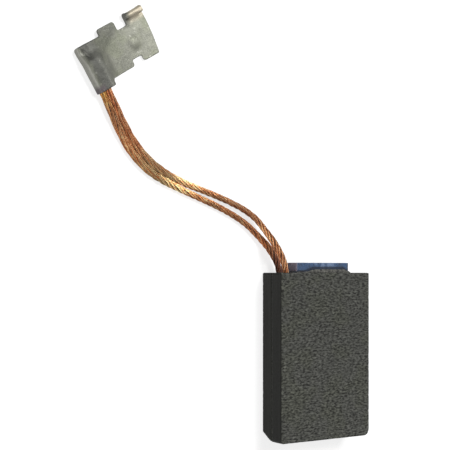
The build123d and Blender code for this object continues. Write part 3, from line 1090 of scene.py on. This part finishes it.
def rope(name, lead, settings, material, seed):
    """A rope of wires along the route of a lead, and the points it follows."""
    points = smooth_line(name, lead_route(lead))
    line = bpy.data.meshes.new(name + "_line")
    line.from_pydata(points, [(i, i + 1) for i in range(len(points) - 1)], [])
    holder = add_object(name + "_line", line)
    modifier = holder.modifiers.new("Lay", "NODES")
    modifier.node_group = rope_tree(name + "_lay", material)
    values = {
        "Bundles": settings.bundles,
        "Wires": settings.wires,
        "Seed": seed,
        "Rope Radius": settings.diameter / 2,
        "Wire Radius": settings.wire / 2,
        "Rope Lay": settings.rope_lay,
        "Bundle Lay": settings.bundle_lay,
        "Step": ROPE_STEP,
    }
    for socket in modifier.node_group.interface.items_tree:
        if socket.in_out == "INPUT" and socket.name in values:
            modifier[socket.identifier] = values[socket.name]
    mesh = finished_mesh(holder)
    if len(mesh.polygons) == 0:
        raise RuntimeError(name + " came out empty")
    mesh.name = name
    return add_object(name, mesh), points


class BRUSH_OT_leads(bpy.types.Operator):
    """Make the two copper rope leads along their routes"""

    bl_idname = "brush.make_leads"
    bl_label = "Make Leads"

    def execute(self, context):
        settings = context.scene.brush_leads
        for seed, (node, lead) in enumerate(LEADS.items(), start=3):
            material = copper_material(node + "_copper", settings, TARNISH_AND_PAINTED_LIGHT[node])
            piece, points = rope(node + "_rope", lead, settings, material, seed)
            finish_piece(piece, material, "copper_rope", node)
            length = sum((b - a).length for a, b in zip(points, points[1:]))
            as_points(points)
            print(node, "length %.1f mm" % (length / MM))
        return {"FINISHED"}


# Stage


def looked_at(tree):
    """1 where the camera, a reflection or glass looks, and 0 for light that falls on the part."""
    path = add_node(tree, "ShaderNodeLightPath").outputs
    seen = maths(tree, "MAXIMUM", path["Is Camera Ray"], path["Is Glossy Ray"])
    return maths(tree, "MAXIMUM", seen, path["Is Transmission Ray"])


def floor_material(settings):
    """A pale floor that shows as white and keeps the shadows."""
    material, tree, shader = new_material("floor", roughness=0.9, specular=0.0)
    shader.inputs["Base Color"].default_value = settings.floor
    shader.inputs["Emission Color"].default_value = (1, 1, 1, 1)
    tree.links.new(both(tree, looked_at(tree), settings.glow), shader.inputs["Emission Strength"])
    return material


def area_lamp(name, place, size, power):
    """A soft square lamp that looks at the brush."""
    lamp = bpy.data.lights.new(name, "AREA")
    lamp.shape = "SQUARE"
    lamp.size = size
    lamp.energy = power
    holder = add_object(name, lamp)
    holder.location = place
    aim = LAMP_AIM - Vector(place)
    holder.rotation_euler = aim.to_track_quat("-Z", "Y").to_euler()


class BRUSH_OT_stage(bpy.types.Operator):
    """Make the floor, the lamps and the camera"""

    bl_idname = "brush.make_stage"
    bl_label = "Make Stage"

    def execute(self, context):
        settings = context.scene.brush_stage
        sheet = bpy.data.meshes.new("floor")
        corners = [
            (x * FLOOR_HALF, y * FLOOR_HALF, -FLOOR_DROP)
            for x, y in ((-1, -1), (1, -1), (1, 1), (-1, 1))
        ]
        sheet.from_pydata(corners, [], [(0, 1, 2, 3)])
        sheet.materials.append(floor_material(settings))
        add_object("floor", sheet)
        area_lamp("key_lamp", *KEY_LAMP, settings.key_power)
        area_lamp("fill_lamp", *FILL_LAMP, settings.fill_power)
        world = bpy.data.worlds.new("even_light")
        world.use_nodes = True
        sky = world.node_tree.nodes["Background"]
        sky.inputs["Color"].default_value = (1, 1, 1, 1)
        strength = remap(world.node_tree, looked_at(world.node_tree), 0.0, 1.0, settings.sky, 1.0)
        world.node_tree.links.new(strength, sky.inputs["Strength"])
        context.scene.world = world
        lens = bpy.data.cameras.new("camera")
        lens.lens = CAMERA_LENS
        lens.sensor_width = 36
        lens.shift_y = CAMERA_SHIFT
        lens.clip_start = 0.01
        camera = add_object("camera", lens)
        camera.location = CAMERA_PLACE
        camera.rotation_euler = (0, CAMERA_LEAN, 0)
        context.scene.camera = camera
        context.scene.view_settings.view_transform = "Standard"
        return {"FINISHED"}


class BRUSH_PT_panel(bpy.types.Panel):
    bl_idname = "BRUSH_PT_panel"
    bl_label = "Carbon Brush"
    bl_space_type = "VIEW_3D"
    bl_region_type = "UI"
    bl_category = "Carbon Brush"

    def draw(self, context):
        for operator in OPERATORS:
            self.layout.operator(operator.bl_idname)


SETTINGS = {
    "brush_carbon": CarbonSettings,
    "brush_pad": PadSettings,
    "brush_leads": LeadSettings,
    "brush_terminal": TerminalSettings,
    "brush_stage": StageSettings,
}
OPERATORS = [
    BRUSH_OT_wafers,
    BRUSH_OT_tampings,
    BRUSH_OT_pad,
    BRUSH_OT_adhesive,
    BRUSH_OT_terminal,
    BRUSH_OT_leads,
    BRUSH_OT_stage,
]


def register():
    for name, group in SETTINGS.items():
        bpy.utils.register_class(group)
        setattr(bpy.types.Scene, name, PointerProperty(type=group))
    for operator in OPERATORS:
        bpy.utils.register_class(operator)
    bpy.utils.register_class(BRUSH_PT_panel)


def unregister():
    bpy.utils.unregister_class(BRUSH_PT_panel)
    for operator in reversed(OPERATORS):
        bpy.utils.unregister_class(operator)
    for name, group in reversed(SETTINGS.items()):
        delattr(bpy.types.Scene, name)
        bpy.utils.unregister_class(group)


def main():
    register()
    bpy.ops.brush.make_wafers()
    bpy.ops.brush.make_tampings()
    bpy.ops.brush.make_pad()
    bpy.ops.brush.make_adhesive()
    bpy.ops.brush.make_terminal()
    bpy.ops.brush.make_leads()
    bpy.ops.brush.make_stage()


if __name__ == "__main__":
    main()
